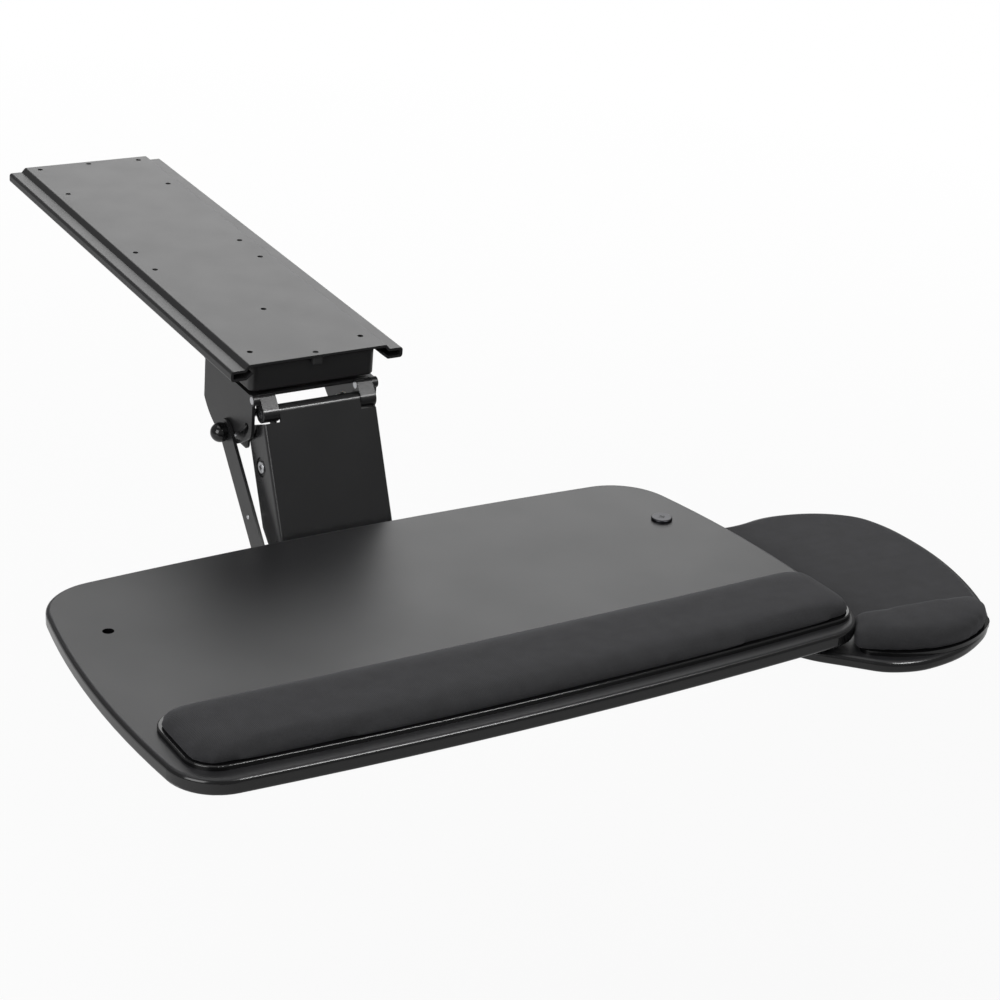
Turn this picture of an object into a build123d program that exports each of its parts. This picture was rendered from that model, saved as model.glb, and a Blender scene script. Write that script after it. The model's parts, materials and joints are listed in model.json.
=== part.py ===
"""Keyboard tray for the underside of a desk, on a sliding, swivelling and lifting arm.

Millimetres. The origin is the centre of the track's top face, which lies against the desk.
X points right, Y back along the track, Z up. The arm is drawn at a working height.
"""
from build123d import *
import os
from math import cos, radians, sin, sqrt

os.makedirs("parts", exist_ok=True)

# Clearances and the one overrun of all cuts
cut_over = 1.0
run_gap = 0.3
pin_fit = 0.2

# Track
track_length = 452.0
track_sheet = 2.0
track_plate_half = 55.5
track_slant_run = 3.1
track_flange_drop = 3.6
track_half_width = 70.0
track_channel_gap = 4.0
track_lip_depth = 11.0
track_lip_run = 5.0
track_lip_rise = 4.0
track_bend = 1.3
screw_hole_r = 2.25
pair_hole_offset = 45.3
pair_hole_shares = (0.4823, 0.338, 0.0177, -0.0686, -0.4518)
middle_hole_shares = (-0.2931,)
end_hole_inset = 5.5

# Stops under the track
stop_width = 8.0
stop_depth = 5.0
stop_height = 6.0
stop_edge = 1.6
stop_setting = 0.8
stop_stem_height = 1.4
stop_offset = 2.5

# Carriage
carriage_length = 100.0
carriage_setback = 6.0
pan_half_width = 51.0
pan_sheet = 1.5
pan_depth = 25.6
pan_corner = 6.0
pan_floor_bend = 2.2
pan_top_gap = 0.7
pan_front_drop = 2.6
runner_rise = 0.65
runner_flat = 2.5
runner_drop = 4.3
runner_run = 5.5
runner_width = 8.0
runner_bend = 0.9
glide_length = 22.0
glide_inset = 8.0
glide_wrap = 6.0
glide_wall = 1.5

# Swivel
swivel_back = 47.0
bearing_radius = 40.0
bearing_height = 2.0
pivot_radius = 8.0
pivot_head_radius = 15.0
pivot_head = 2.6
pivot_foot_radius = 12.5
pivot_foot = 2.2
pivot_bore = 3.6
washer_radius = 18.0
washer_height = 1.4

# Swivel bracket
base_sheet = 2.5
base_corner = 14.0
ear_outer = 51.0
ear_sheet = 2.5
ear_front_reach = 50.5
ear_depth_radius = 48.0
ear_arc_back = 6.0
ear_arc_drop = 1.5
ear_slope = 34.0
ear_front_corner = 6.5
ear_bend = 2.4
guard_inset = 7.3
guard_sheet = 1.6
guard_back = 1.0
guard_length = 32.0
guard_drop = 52.0
guard_corner = 5.0
base_length = 93.0
base_front_reach = 46.6
strap_pin_reach = 49.0
strap_pin_drop = 0.5
strap_pin_radius = 2.9
knuckle_radius = 4.2
knuckle_length = 5.0

# Arm
arm_pivot_reach = 54.0
arm_pivot_drop = 9.9
arm_length = 118.0
arm_angle = 24.4
arm_half_width = 46.4
arm_depth = 30.0
arm_sheet = 2.4
arm_fold = 3.2
arm_pin_radius = 3.0
roll_half_width = 33.0
roll_notch = 7.6
wall_start = 7.6
face_end = 12.0
wall_end_radius = 9.0
wall_taper = 34.0
relief_gap = 1.2
relief_low = -12.0
relief_high = 64.0
strap_inner = 33.4
strap_gap = 0.4
strap_lug_radius = 6.8
screw_along = 39.0
screw_behind = 17.0
recess_radius = 7.5
recess_depth = 0.9
screw_head_radius = 4.6
screw_head = 1.5
screw_radius = 2.5
nut_radius = 4.4
nut_height = 3.2
spreader_sheet = 2.0
spreader_height = 20.0
spreader_depth = 24.0

# Inner parallel link
link_back = 16.0
link_down = 6.0
link_half_width = 30.0
link_sheet = 2.0
link_eye = 5.2
link_half_depth = 4.0
link_web_start = 16.0
link_bore = 3.6
bush_wall = 1.0
bush_length = 6.0
bush_collar = 1.2
bush_collar_radius = 5.6

# Yoke at the foot of the arm
yoke_outer = 49.4
yoke_sheet = 2.5
yoke_eye = 9.0
yoke_link_eye = 8.0
yoke_web_height = 2.5
yoke_web_drop = 4.6
yoke_web_back = 13.3
yoke_web_front = 48.3
yoke_corner = 5.0
lower_head_radius = 5.0
lower_head = 1.5
rear_pin_radius = 3.0
tilt_reach = 23.3
tilt_rise = 7.9
tilt_pin_radius = 4.0
tilt_head_radius = 6.6
tilt_head = 3.0
tilt_nut_radius = 7.2
tilt_nut_height = 5.0

# Height lock
bar_length = 111.4
bar_angle = 42.1
bar_rate = 0.7
arm_low = -6.0
arm_high = 48.0
bar_inner = 51.6
bar_sheet = 2.5
bar_half_width = 10.0
stud_radius = 2.8
slot_gap = 0.4
stud_head_radius = 5.0
stud_head = 3.4
knob_radius = 7.5
knob_centre_out = 3.4
knob_bore_depth = 7.0
rivet_along = 44.0
rivet_radius = 1.8
rivet_height = 0.7

# Tray board, drawn in its own frame: origin on top, Y square to the hinge
tray_tilt = 3.26
hinge_back = 97.5
hinge_drop = 27.6
board_half_width = 261.0
board_back = 109.0
board_front = 191.5
board_height = 11.0
board_top_edge = 3.0
board_bottom_edge = 2.5
board_rear_corner = 46.0
board_front_corner = 36.0
rear_corner_shares = (0.9264, 0.9165)
front_corner_shares = (0.9705, 0.9504)
side_middle_share = 0.39
mount_hole_inset = 40.1
mount_hole_back = 26.0
mount_hole_radius = 4.0

# Tray bracket
plate_half_width = 78.0
plate_sheet = 2.5
plate_back = 103.5
plate_length = 128.0
plate_corner = 12.0
tray_ear_inner = 49.8
tray_ear_sheet = 2.5
tray_ear_radius = 10.5
tray_ear_front = 24.0
board_screw_radius = 2.0
board_screw_length = 8.0
board_screw_head_radius = 4.2
board_screw_head = 2.0
board_screw_side_share = 0.85
board_screw_row_shares = (0.1, 0.5, 0.9)

# Keyboard palm rest
rest_shift = 4.0
rest_end_inset = 11.0
rest_back = 97.0
rest_depth = 83.5
rest_front_bow = 10.0
rest_back_corner = 20.0
rest_front_corner = 22.0
rest_base_height = 3.2
rest_base_edge = 1.0
rest_rim = 1.4
rest_height = 20.0
rest_end_edge = 7.0
rest_seat_draw = 1.6
crown_shares = ((0.0, 0.22), (0.03, 0.62), (0.13, 0.9), (0.4, 1.0), (0.76, 0.84), (0.95, 0.5), (1.0, 0.2))

# Mouse platform, in the board's frame
platform_size = 120.0
platform_reach = 34.0
platform_y = -85.0
platform_drop = 18.0
platform_height = 9.0
platform_top_edge = 3.6
platform_bottom_edge = 3.0
platform_shares = (
    (-0.10, 0.945), (0.29, 0.965), (0.64, 0.855), (0.845, 0.64), (0.895, 0.15), (0.79, -0.38),
    (0.58, -0.80), (0.26, -1.01), (-0.09, -1.075), (-0.33, -1.015), (-0.49, -0.875), (-0.71, -0.62),
    (-0.86, -0.2), (-0.88, 0.3), (-0.83, 0.8), (-0.72, 1.06), (-0.56, 1.11), (-0.38, 1.02),
)
pad_share = 0.955
pad_height = 2.0
pad_edge = 0.7
pad_hub_clear = 32.0
wrist_shares = (
    (-0.275, -0.6), (0.108, -0.65), (0.533, -0.692), (0.55, -0.8), (0.475, -0.908), (0.042, -1.046), (-0.433, -0.85),
)
wrist_corner = 8.0
wrist_height = 19.0
wrist_base_height = 3.0
wrist_rim = 1.3
wrist_top_edge = 5.0
wrist_crown = 230.0
wrist_seat_draw = 1.2
mouse_bolt_radius = 3.7
mouse_bolt_head_radius = 8.0
mouse_bolt_head = 2.2
mouse_spacer_radius = 12.0
mouse_nut_radius = 9.0
mouse_nut_height = 6.0
mouse_washer_radius = 14.0
mouse_washer_height = 1.6

# Levels and places that follow from the sizes
track_front = -track_length / 2
front_hole = track_front + end_hole_inset
carriage_front = track_front + carriage_setback
carriage_back = carriage_front + carriage_length
swivel_y = carriage_front + swivel_back
pan_bottom = -pan_depth
base_top = pan_bottom - bearing_height
base_bottom = base_top - base_sheet
strap_pin = (swivel_y - strap_pin_reach, base_bottom - strap_pin_drop)
arm_pivot = (swivel_y - arm_pivot_reach, base_bottom - arm_pivot_drop)
link_pivot = (arm_pivot[0] + link_back, arm_pivot[1] - link_down)


def swung(pivot, length, angle):
    """The end of a bar that hangs from a pivot, swung forward by an angle."""
    return (pivot[0] - length * sin(radians(angle)), pivot[1] - length * cos(radians(angle)))


def stud_at(lift):
    """The locking stud's place when the arm has swung up by an angle."""
    foot = swung(link_pivot, arm_length, arm_angle + lift)
    return swung(foot, -bar_length, bar_angle + bar_rate * lift)


arm_foot = swung(arm_pivot, arm_length, arm_angle)
link_foot = swung(link_pivot, arm_length, arm_angle)
stud_place = stud_at(0)
tilt_axis = (arm_foot[0] - tilt_reach, arm_foot[1] + tilt_rise)
mount_hole_offset = board_half_width - mount_hole_inset
platform_x = board_half_width + platform_reach
rest_half_width = board_half_width - rest_end_inset
arm_frame = Pos(0, arm_pivot[0], arm_pivot[1]) * Rot(-arm_angle, 0, 0)
link_frame = Pos(0, link_pivot[0], link_pivot[1]) * Rot(-arm_angle, 0, 0)
bar_frame = Pos(0, link_foot[0], link_foot[1]) * Rot(-bar_angle, 0, 0)
tray_frame = Pos(0, tilt_axis[0], tilt_axis[1]) * Rot(-tray_tilt, 0, 0) * Pos(0, -hinge_back, hinge_drop)


def along_x(sketch, start, end):
    """Extrude a sketch of (y, z) points from one x to another."""
    return extrude(Plane.YZ.offset(min(start, end)) * sketch, amount=abs(end - start))


def along_y(sketch, start, end):
    """Extrude a sketch of (x, z) points from one y to another."""
    return extrude(Plane.XZ.offset(-max(start, end)) * sketch, amount=abs(end - start))


def along_z(sketch, start, end):
    """Extrude a sketch of (x, y) points from one z to another."""
    return extrude(Plane.XY.offset(min(start, end)) * sketch, amount=abs(end - start))


def rod(centre, radius, start, end):
    """A round bar across the part, centred on a (y, z) place."""
    return along_x(Pos(*centre) * Circle(radius), start, end)


def both(solid):
    """A solid with its mirror image on the other side."""
    return [solid, mirror(solid, Plane.YZ)]


def group(solids):
    """Separate solids kept in one node."""
    return Compound(children=[each for item in solids for each in item.solids()])


def strip(points, sheet, bend):
    """Section of bent sheet along its middle line."""
    return trace(FilletPolyline(*points, radius=bend), line_width=sheet)


def mirrored(points):
    """A middle line from the left end to the right one."""
    return [(-x, z) for x, z in reversed(points)] + list(points)


def hull_of(circles):
    """The outline stretched round circles given as (y, z, radius)."""
    return make_hull(Sketch(children=[Pos(y, z) * Circle(r) for y, z, r in circles]).edges())


def edges_at(solid, level):
    """All edges that lie in one level plane."""
    return solid.edges().filter_by_position(Axis.Z, level - run_gap / 2, level + run_gap / 2)


# Track and stops
def track():
    """Roll-formed rail: a raised plate between two channels that open inward."""
    middle = -track_sheet / 2
    flange = -track_flange_drop - track_sheet / 2
    floor = flange - track_channel_gap - track_sheet
    lip = track_half_width - track_sheet / 2 - track_lip_depth
    right = [
        (track_plate_half, middle),
        (track_plate_half + track_slant_run, flange),
        (track_half_width - track_sheet / 2, flange),
        (track_half_width - track_sheet / 2, floor),
        (lip, floor),
        (lip - track_lip_run, floor + track_lip_rise),
    ]
    rail = along_y(strip(mirrored(right), track_sheet, track_bend), track_front, -track_front)
    places = [(side * pair_hole_offset, share * track_length) for share in pair_hole_shares for side in (-1, 1)]
    places += [(0, share * track_length) for share in middle_hole_shares] + [(0, front_hole), (0, -front_hole)]
    for x, y in places:
        rail -= Pos(x, y) * along_z(Circle(screw_hole_r), -track_sheet - cut_over, cut_over)
    return rail


def stop(place, outward):
    """Rubber bumper under the plate, held by a stem in the middle hole."""
    plan = Pos(0, outward * stop_offset) * RectangleRounded(stop_width, stop_depth, stop_edge)
    body = along_z(plan, -track_sheet - stop_height, -track_sheet)
    body = fillet(edges_at(body, -track_sheet - stop_height), stop_setting)
    stem = along_z(Circle(screw_hole_r), -track_sheet - stop_setting, -track_sheet + stop_stem_height)
    return Pos(0, place) * (body + stem)


# Carriage
def carriage_pan():
    """Pressed pan between the channels, with a runner flange on each side."""
    inside = pan_half_width - pan_sheet / 2
    shelf = -track_sheet - runner_rise - pan_sheet / 2
    outline = Pos(0, carriage_front + carriage_length / 2) * Rectangle(2 * pan_half_width, carriage_length)
    outline = fillet(outline.vertices().group_by(Axis.Y)[0], pan_corner)
    top = shelf + pan_sheet / 2
    pan = along_z(outline, pan_bottom, top)
    pan = fillet(edges_at(pan, pan_bottom), pan_floor_bend)
    hollow = offset(outline, -pan_sheet)
    hollow += Pos(0, carriage_back) * Rectangle(2 * (pan_half_width - pan_sheet), 2 * pan_corner)
    pan -= along_z(hollow, pan_bottom + pan_sheet, top + cut_over)
    front_cut = Pos(0, carriage_front) * Rectangle(2 * (pan_half_width - pan_corner), 2 * pan_corner)
    pan -= along_z(front_cut, top - pan_front_drop, top + cut_over)
    right = [
        (inside, shelf - runner_drop),
        (inside, shelf),
        (inside + runner_flat, shelf),
        (inside + runner_flat + runner_run, shelf - runner_drop),
        (inside + runner_flat + runner_run + runner_width, shelf - runner_drop),
    ]
    runner = along_y(strip(right, pan_sheet, runner_bend), carriage_front + pan_corner, carriage_back)
    for each in both(runner):
        pan += each
    bore = along_z(Circle(pivot_radius + pin_fit), pan_bottom - cut_over, pan_bottom + pan_sheet + cut_over)
    return pan - Pos(0, swivel_y) * bore


def carriage_glides():
    """Four nylon shoes folded over the edges of the runner flanges."""
    tip = pan_half_width - pan_sheet / 2 + runner_flat + runner_run + runner_width
    middle = -track_sheet - runner_rise - pan_sheet / 2 - runner_drop
    ceiling = -track_flange_drop - track_sheet
    height = track_channel_gap - 2 * run_gap
    width = glide_wrap + glide_wall
    shoe = Pos(tip - glide_wrap + width / 2, ceiling - track_channel_gap / 2) * Rectangle(width, height)
    shoe -= Pos(tip - glide_wrap, middle) * Rectangle(2 * glide_wrap, pan_sheet)
    starts = (carriage_front + pan_corner + glide_inset, carriage_back - glide_inset - glide_length)
    return group(each for start in starts for each in both(along_y(shoe, start, start + glide_length)))


# Swivel
def swivel_bearing():
    """Nylon disc on which the bracket turns."""
    ring = Circle(bearing_radius) - Circle(pivot_radius + pin_fit)
    return Pos(0, swivel_y) * along_z(ring, base_top + run_gap, pan_bottom)


def swivel_washer():
    """Nylon washer between the pan's floor and the pivot's head."""
    floor = pan_bottom + pan_sheet
    ring = Circle(washer_radius) - Circle(pivot_radius)
    return Pos(0, swivel_y) * along_z(ring, floor + run_gap, floor + run_gap + washer_height)


def swivel_pivot():
    """Hollow pivot with a wide head inside the pan, set over under the base plate."""
    seat = pan_bottom + pan_sheet + run_gap + washer_height
    half = [
        (pivot_bore, base_bottom - pivot_foot),
        (pivot_foot_radius, base_bottom - pivot_foot),
        (pivot_foot_radius, base_bottom),
        (pivot_radius, base_bottom),
        (pivot_radius, seat),
        (pivot_head_radius, seat),
        (pivot_head_radius, seat + pivot_head / 2),
        (pivot_head_radius - pivot_head / 2, seat + pivot_head),
        (pivot_bore, seat + pivot_head),
    ]
    section = Plane.XZ * make_face(Polyline(*half, close=True))
    return Pos(0, swivel_y) * revolve(section, Axis.Z)


# Swivel bracket
def ear_outline():
    """Side plate: straight front, sloping foot and a round heel."""
    slope = radians(ear_slope)
    front = swivel_y - ear_front_reach
    centre = (swivel_y - ear_arc_back, base_bottom - ear_arc_drop)
    toe = (centre[0] - ear_depth_radius * sin(slope), centre[1] - ear_depth_radius * cos(slope))
    heel_angle = radians((90 - ear_slope) / 2)
    heel = (centre[0] + ear_depth_radius * sin(heel_angle), centre[1] - ear_depth_radius * cos(heel_angle))
    back = (centre[0] + ear_depth_radius, centre[1])
    corner = (front, toe[1] + (toe[0] - front) * sin(slope) / cos(slope))
    outline = make_face([
        Line((front, base_top), corner),
        Line(corner, toe),
        ThreePointArc(toe, heel, back),
        Line(back, (back[0], base_top)),
        Line((back[0], base_top), (front, base_top)),
    ])
    sharp = outline.vertices().sort_by_distance((corner[0], corner[1], 0))[0]
    return fillet(sharp, ear_front_corner)


def swivel_bracket():
    """Base plate with two folded ears; the lock's slot is in the left one, with a guard tab inside it."""
    base = Pos(0, swivel_y - base_front_reach + base_length / 2) * Rectangle(2 * ear_outer, base_length)
    base = fillet(base.vertices().group_by(Axis.Y)[-1], base_corner)
    plate = along_z(base, base_bottom, base_top)
    ear = along_x(ear_outline(), ear_outer - ear_sheet, ear_outer)
    ear &= Pos(0, swivel_y, base_top) * Box(
        2 * ear_outer, 2 * (base_length - base_front_reach - base_corner), 2 * track_length
    ) + Pos(0, carriage_front, base_top - track_length) * Box(2 * ear_outer, base_length, 2 * track_length)
    knuckle = rod(strap_pin, knuckle_radius, ear_outer - knuckle_length, ear_outer)
    bracket = plate
    for relief in both(rod(strap_pin, knuckle_radius + pin_fit, strap_inner - pin_fit, ear_outer)):
        bracket -= relief
    for piece in both(ear) + both(knuckle):
        bracket += piece
    guard = Pos(swivel_y + guard_back - guard_length / 2, base_top - guard_drop / 2) * Rectangle(
        guard_length, guard_drop
    )
    guard = fillet(guard.vertices().group_by(Axis.Y)[0], guard_corner)
    bracket += along_x(guard, -ear_outer + guard_inset, -ear_outer + guard_inset + guard_sheet)
    bracket -= rod(strap_pin, strap_pin_radius, -ear_outer - cut_over, ear_outer + cut_over)
    bracket -= Pos(0, swivel_y) * along_z(Circle(pivot_radius), base_bottom - cut_over, base_top + cut_over)
    path = ThreePointArc(stud_at(arm_low), stud_at((arm_low + arm_high) / 2), stud_at(arm_high))
    slot = SlotArc(path, 2 * (stud_radius + slot_gap))
    return bracket - along_x(slot, -ear_outer - cut_over, -ear_outer + ear_sheet + cut_over)


def hinge_straps():
    """Lugs that carry the arm's hinge pin below the front edge of the base plate."""
    outline = hull_of([(*strap_pin, knuckle_radius), (*arm_pivot, strap_lug_radius)])
    outline -= Pos(*strap_pin) * Circle(strap_pin_radius)
    outline -= Pos(*arm_pivot) * Circle(arm_pin_radius)
    return group(both(along_x(outline, strap_inner, ear_outer - knuckle_length)))


def strap_pins():
    """Short rivets through the knuckles and the straps."""
    return group(both(rod(strap_pin, strap_pin_radius, strap_inner, ear_outer)))


def arm_hinge_pin():
    """The pin on which the arm swings."""
    end = ear_outer - knuckle_length
    return rod(arm_pivot, arm_pin_radius, -end, end)


def link_rod():
    """Rod across the ears that carries the inner link."""
    end = ear_outer - ear_sheet
    return rod(link_pivot, arm_pin_radius, -end, end)


# Arm
def pin_relief():
    """Round cut behind the arm's foot in which the yoke's rear pin swings."""
    reach = sqrt(link_back**2 + link_down**2)
    outer = reach + rear_pin_radius + relief_gap
    far = [(2 * outer * cos(radians(angle)), 2 * outer * sin(radians(angle))) for angle in (
        relief_low, (relief_low + relief_high) / 2, relief_high
    )]
    sector = make_face(Polyline((0, 0), *far, close=True))
    return Circle(outer) & sector - Circle(reach - rear_pin_radius - relief_gap)


def arm_channel():
    """Channel with its back open: face, two side walls and a rolled eye at the top."""
    roll_outer = arm_pin_radius + pin_fit + arm_sheet
    back = arm_depth - roll_outer
    foot = -arm_length
    shell = Pos(0, (back - roll_outer) / 2) * Rectangle(2 * arm_half_width, arm_depth)
    shell = fillet(shell.vertices().group_by(Axis.Y)[0], arm_fold)
    hollow = Pos(0, (back + cut_over - roll_outer + arm_sheet) / 2) * Rectangle(
        2 * (arm_half_width - arm_sheet), arm_depth - arm_sheet + cut_over
    )
    hollow = fillet(hollow.vertices().group_by(Axis.Y)[0], arm_fold - arm_sheet)
    walls = along_z(shell - hollow, foot - wall_end_radius, 0)
    side = make_face(Polyline(
        (-roll_outer, 0), (back, 0), (back, foot + wall_taper), (wall_end_radius, foot),
        (wall_end_radius, foot - wall_end_radius), (-wall_end_radius, foot - wall_end_radius),
        (-wall_end_radius, foot + face_end), (-roll_outer, foot + wall_taper), close=True,
    ))
    side += Pos(0, foot) * Circle(wall_end_radius)
    for reach in (-wall_end_radius, wall_end_radius):
        corner = Pos(reach, foot - wall_end_radius) * Rectangle(2 * wall_end_radius, 2 * wall_end_radius)
        side -= corner - Pos(0, foot) * Circle(wall_end_radius)
    side -= Pos(0, foot) * pin_relief()
    arm = walls & along_x(side, -arm_half_width, arm_half_width)
    face_cut = Rectangle(2 * (arm_half_width - arm_sheet), 2 * wall_end_radius + 2 * face_end)
    arm -= along_y(Pos(0, foot) * face_cut, -roll_outer - cut_over, -roll_outer + arm_sheet + cut_over)
    top_cut = Pos(0, -wall_start / 2 + cut_over / 2)
    arm -= along_y(
        top_cut * Rectangle(2 * arm_half_width + cut_over, wall_start + cut_over),
        -roll_outer + arm_sheet, back + cut_over,
    )
    for side_sign in (-1, 1):
        middle = side_sign * (roll_half_width + arm_half_width + cut_over) / 2
        notch = Rectangle(arm_half_width + cut_over - roll_half_width, roll_notch + cut_over)
        arm -= along_y(
            Pos(middle, (cut_over - roll_notch) / 2) * notch, -roll_outer - cut_over, -roll_outer + arm_sheet + cut_over
        )
    arm += rod((0, 0), roll_outer, -roll_half_width, roll_half_width)
    arm -= rod((0, 0), arm_pin_radius + pin_fit, -arm_half_width, arm_half_width)
    arm -= rod((0, foot), arm_pin_radius + pin_fit, -arm_half_width - cut_over, arm_half_width + cut_over)
    place = (screw_behind - roll_outer, -screw_along)
    arm -= rod(place, screw_radius, -arm_half_width - cut_over, arm_half_width + cut_over)
    for recess in both(rod(place, recess_radius, arm_half_width - recess_depth, arm_half_width + cut_over)):
        arm -= recess
    return arm_frame * arm


def arm_spreader():
    """Formed strip inside the channel that keeps its walls apart."""
    roll_outer = arm_pin_radius + pin_fit + arm_sheet
    inside = arm_half_width - arm_sheet
    front = -roll_outer + arm_sheet
    section = Pos(0, front + spreader_depth / 2) * Rectangle(2 * inside, spreader_depth)
    section = fillet(section.vertices().group_by(Axis.Y)[0], arm_fold - arm_sheet)
    back = front + spreader_sheet
    section -= Pos(0, back + spreader_depth / 2) * Rectangle(2 * (inside - spreader_sheet), spreader_depth)
    strap = along_z(section, -screw_along - spreader_height / 2, -screw_along + spreader_height / 2)
    place = (screw_behind - roll_outer, -screw_along)
    strap -= rod(place, screw_radius, -arm_half_width, arm_half_width)
    return arm_frame * strap


def side_screws():
    """Bright screws in the round recesses of the side walls."""
    place = (screw_behind - arm_pin_radius - pin_fit - arm_sheet, -screw_along)
    seat = arm_half_width - recess_depth
    head = rod(place, screw_head_radius, seat, seat + screw_head)
    head = fillet(head.edges().group_by(Axis.X)[-1], screw_head / 2)
    tip = arm_half_width - arm_sheet - spreader_sheet - nut_height
    return group(arm_frame * each for each in both(head + rod(place, screw_radius, tip, seat)))


def side_nuts():
    """Hexagon nuts on the side screws, inside the channel."""
    place = (screw_behind - arm_pin_radius - pin_fit - arm_sheet, -screw_along)
    outer = arm_half_width - arm_sheet - spreader_sheet
    section = Pos(*place) * (RegularPolygon(nut_radius, 6) - Circle(screw_radius))
    return group(arm_frame * each for each in both(along_x(section, outer - nut_height, outer)))


# Inner link
def inner_link():
    """Channel parallel to the arm that keeps the foot of the arm level."""
    foot = -arm_length
    flange = hull_of([(0, 0, link_half_depth), (0, foot, link_half_depth)])
    flange += Circle(link_eye)
    flange += Pos(0, foot) * Circle(link_eye)
    flange -= Circle(arm_pin_radius + bush_wall)
    flange -= Pos(0, foot) * Circle(link_bore)
    sides = both(along_x(flange, link_half_width - link_sheet, link_half_width))
    web = along_y(
        Pos(0, foot / 2) * Rectangle(2 * link_half_width, arm_length - 2 * link_web_start),
        link_half_depth - link_sheet, link_half_depth,
    )
    return link_frame * (sides[0] + sides[1] + web)


def link_bushes():
    """Flanged nylon bushes between the link's eyes and their rod."""
    inner = link_half_width - link_sheet
    tube = rod((0, 0), arm_pin_radius + bush_wall, inner - bush_length / 2, link_half_width)
    collar = rod((0, 0), bush_collar_radius, link_half_width, link_half_width + bush_collar)
    bore = rod((0, 0), arm_pin_radius + pin_fit, 0, arm_half_width)
    return group(link_frame * each for each in both(tube + collar - bore))


# Yoke
def yoke():
    """Level carrier at the arm's foot: two cheeks joined by a web."""
    low = arm_foot[1] - yoke_web_drop
    toe = (arm_foot[0] - yoke_web_front + yoke_corner, low + yoke_corner, yoke_corner)
    cheek = hull_of([
        (*arm_foot, yoke_eye), (*link_foot, yoke_link_eye), (*tilt_axis, yoke_eye), toe,
    ])
    cheek -= Pos(*arm_foot) * Circle(arm_pin_radius)
    cheek -= Pos(*link_foot) * Circle(rear_pin_radius)
    cheek -= Pos(*tilt_axis) * Circle(tilt_pin_radius + pin_fit)
    frame = both(along_x(cheek, yoke_outer - yoke_sheet, yoke_outer))
    length = yoke_web_front - yoke_web_back - yoke_corner
    centre = arm_foot[0] - yoke_web_back - length / 2
    web = Pos(0, centre) * Rectangle(2 * yoke_outer - yoke_sheet, length)
    return frame[0] + frame[1] + along_z(web, low, low + yoke_web_height)


def headed_pin(centre, radius, head_radius, head, half):
    """A pin across the cheeks with a low head at each end."""
    heads = rod(centre, head_radius, half, half + head)
    heads = fillet(heads.edges().group_by(Axis.X)[-1], head / 2)
    pin = rod(centre, radius, -half, half)
    for each in both(heads):
        pin += each
    return pin


def lower_hinge_pin():
    """Pin through the arm's foot and the yoke."""
    return headed_pin(arm_foot, arm_pin_radius, lower_head_radius, lower_head, yoke_outer)


def rear_pin():
    """Rod through the yoke for the inner link, reaching out to the locking bar."""
    outer = bar_inner + bar_sheet + pin_fit
    pin = rod(link_foot, rear_pin_radius, -outer, yoke_outer)
    pin += rod(link_foot, lower_head_radius, -outer - lower_head, -outer)
    return pin + rod(link_foot, lower_head_radius, yoke_outer, yoke_outer + lower_head)


def bar_spacer():
    """Washer between the yoke's left cheek and the locking bar."""
    ring = Pos(*link_foot) * (Circle(lower_head_radius) - Circle(rear_pin_radius))
    return along_x(ring, -bar_inner + run_gap, -yoke_outer)


# Height lock
def lock_bar():
    """Flat bar from the yoke up to the slot in the left ear."""
    bar = hull_of([(0, 0, bar_half_width), (0, bar_length, bar_half_width)])
    bar -= Circle(rear_pin_radius + pin_fit)
    bar -= Pos(0, bar_length) * Circle(stud_radius)
    bar -= Pos(0, rivet_along) * Circle(rivet_radius)
    return bar_frame * along_x(bar, -bar_inner - bar_sheet, -bar_inner)


def bar_rivet():
    """Small bright rivet in the locking bar."""
    outer = bar_inner + bar_sheet + rivet_height
    rivet = rod((0, rivet_along), rivet_radius, -outer, -bar_inner)
    return bar_frame * fillet(rivet.edges().group_by(Axis.X)[0], rivet_height)


def lock_stud():
    """Stud that runs in the ear's slot, with a flat head inside the ear."""
    inner = ear_outer - ear_sheet - run_gap
    stud = rod(stud_place, stud_radius, -bar_inner - bar_sheet - knob_bore_depth + run_gap, -inner)
    return stud + rod(stud_place, stud_head_radius, -inner, -inner + stud_head)


def ball_knob():
    """Round locking knob, cut flat where it clamps the bar."""
    face = -bar_inner - bar_sheet - pin_fit
    centre = face - knob_centre_out
    flat = sqrt(knob_radius**2 - knob_centre_out**2)
    section = make_face([
        Polyline((centre - knob_radius, 0), (face, 0), (face, flat)),
        ThreePointArc((face, flat), (centre, knob_radius), (centre - knob_radius, 0)),
    ])
    ball = Pos(0, *stud_place) * revolve(section, Axis.X)
    return ball - rod(stud_place, stud_radius + pin_fit, face - knob_bore_depth, face + cut_over)


# Tray bracket
def tray_bracket():
    """Plate under the board with two ears on the tilt pin."""
    top = -board_height
    plate = Pos(0, plate_back - plate_length / 2) * Rectangle(2 * plate_half_width, plate_length)
    plate = fillet(plate.vertices(), plate_corner)
    for x, y in board_screw_places():
        plate -= Pos(x, y) * Circle(board_screw_radius + pin_fit)
    bracket = along_z(plate, top - plate_sheet, top)
    outline = hull_of([
        (hinge_back, -hinge_drop, tray_ear_radius),
        (plate_back - plate_sheet, top - plate_sheet, plate_sheet),
        (hinge_back - tray_ear_front, top - plate_sheet, plate_sheet),
    ])
    outline &= Pos(hinge_back, top - plate_length / 2) * Rectangle(2 * plate_length, plate_length)
    outline -= Pos(hinge_back, -hinge_drop) * Circle(tilt_pin_radius)
    for ear in both(along_x(outline, tray_ear_inner, tray_ear_inner + tray_ear_sheet)):
        bracket += ear
    return tray_frame * bracket


def board_screw_places():
    """Where the bracket is screwed to the board."""
    side = board_screw_side_share * plate_half_width
    return [(s * side, plate_back - share * plate_length) for share in board_screw_row_shares for s in (-1, 1)]


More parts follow.
